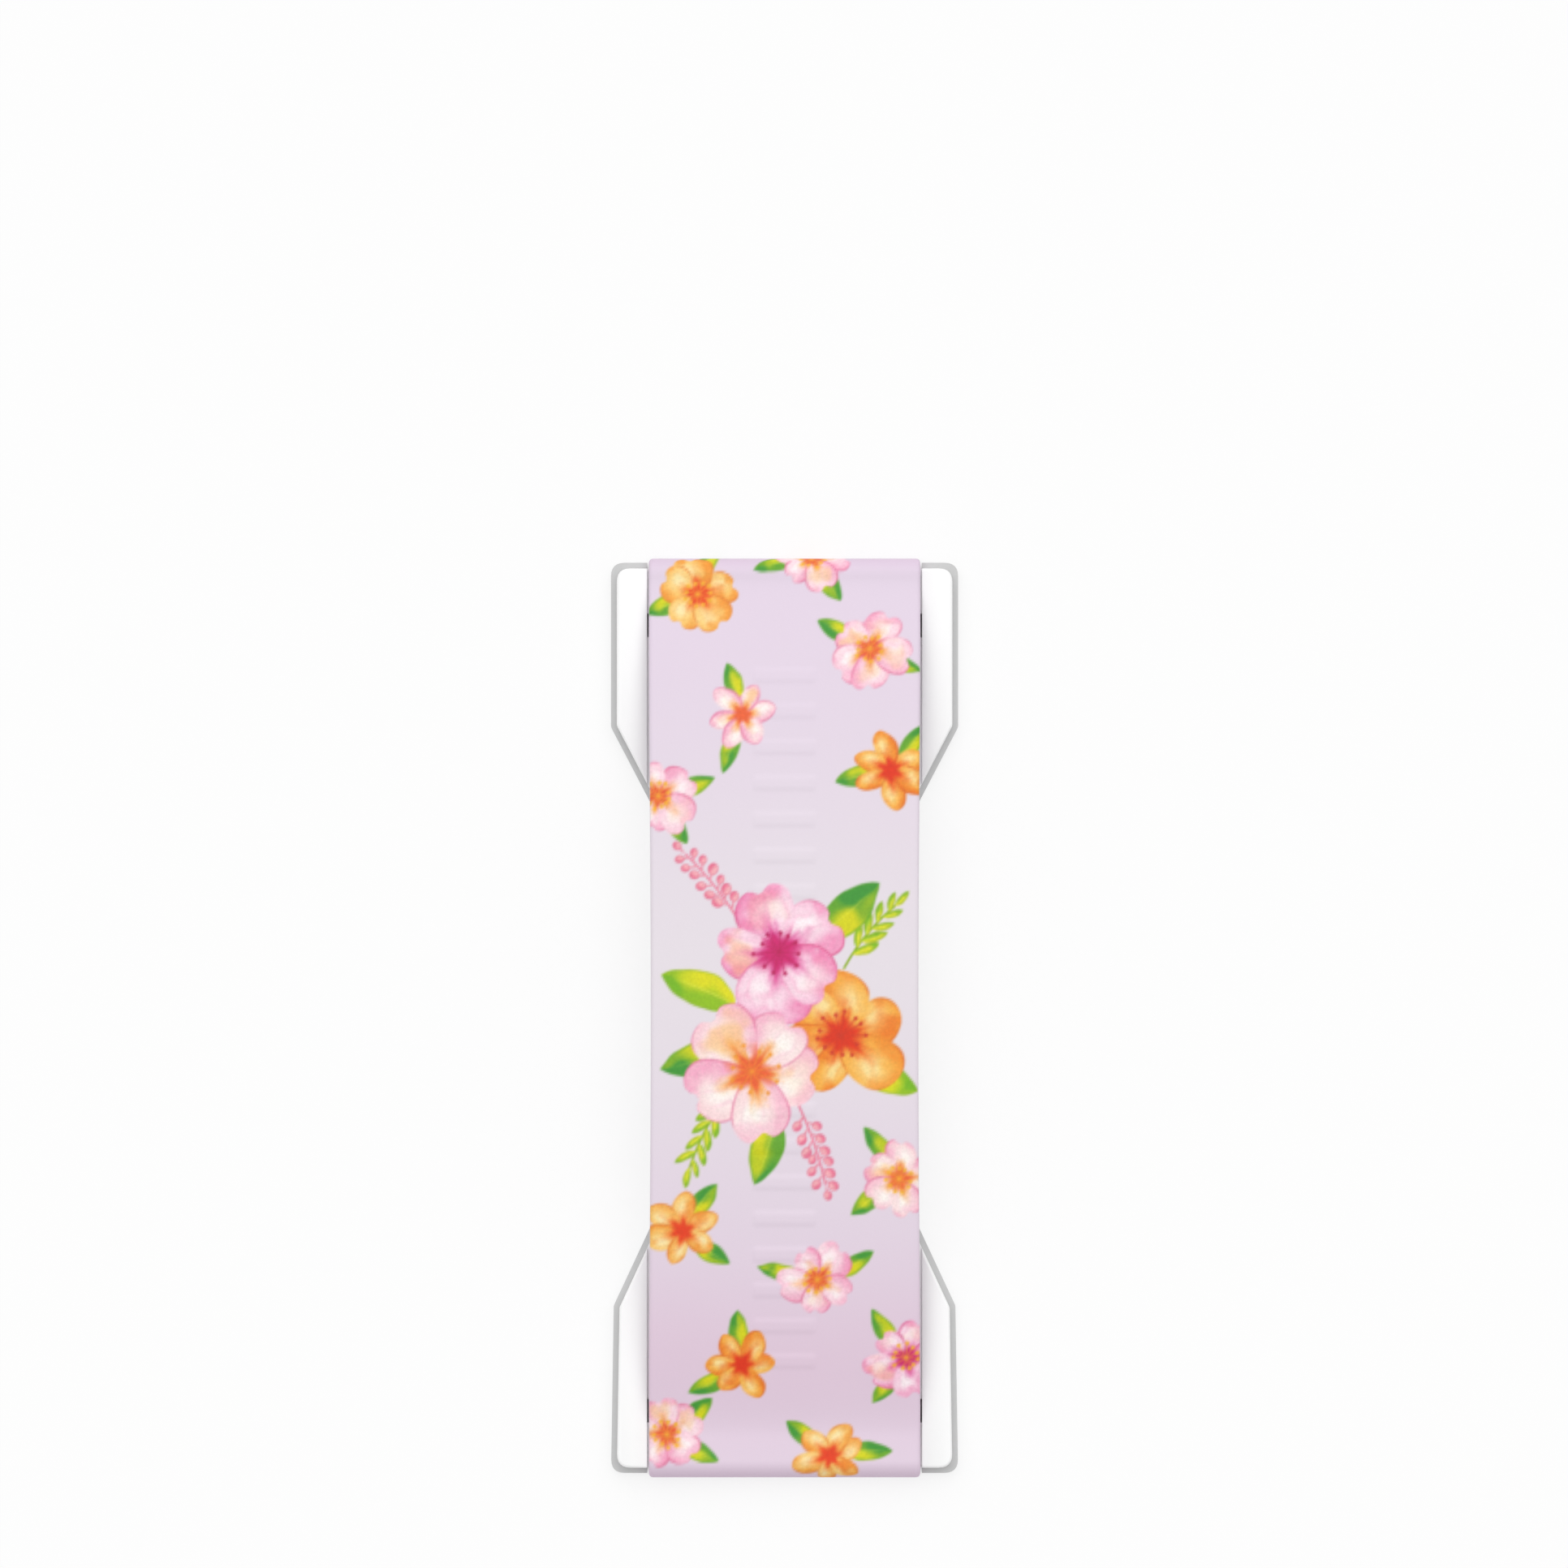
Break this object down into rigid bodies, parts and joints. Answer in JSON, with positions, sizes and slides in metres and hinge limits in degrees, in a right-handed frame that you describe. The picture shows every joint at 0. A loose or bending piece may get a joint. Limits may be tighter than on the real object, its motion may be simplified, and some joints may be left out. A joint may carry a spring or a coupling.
{
  "type": "phone finger strap",
  "caption": "Printed silicone finger strap, arched over a slim waisted base plate that foam tape sticks to the back of a phone; its hooked ends wrap round a bar at each end of the plate.",
  "frame": {"origin": "middle of the foam tape's lower face, on the surface that the strap is stuck to, under the middle of the whole part", "axes": "+Y along the strap towards the phone's camera end, the top of the picture; +X to the right in the picture; +Z away from the phone, through the arch of the strap"},
  "size_m": [0.0384, 0.1016, 0.0087],
  "materials": {
    "printed_silicone": "satin silicone, pale lavender ground with a printed floral pattern",
    "white_plastic": "smooth white moulded plastic",
    "grey_foam_tape": "matt grey closed-cell foam with a film of adhesive on both faces"
  },
  "bodies": {
    "root": {"strap": "printed_silicone", "base_plate": "white_plastic", "adhesive_tape": "grey_foam_tape"}
  },
  "joints": []
}
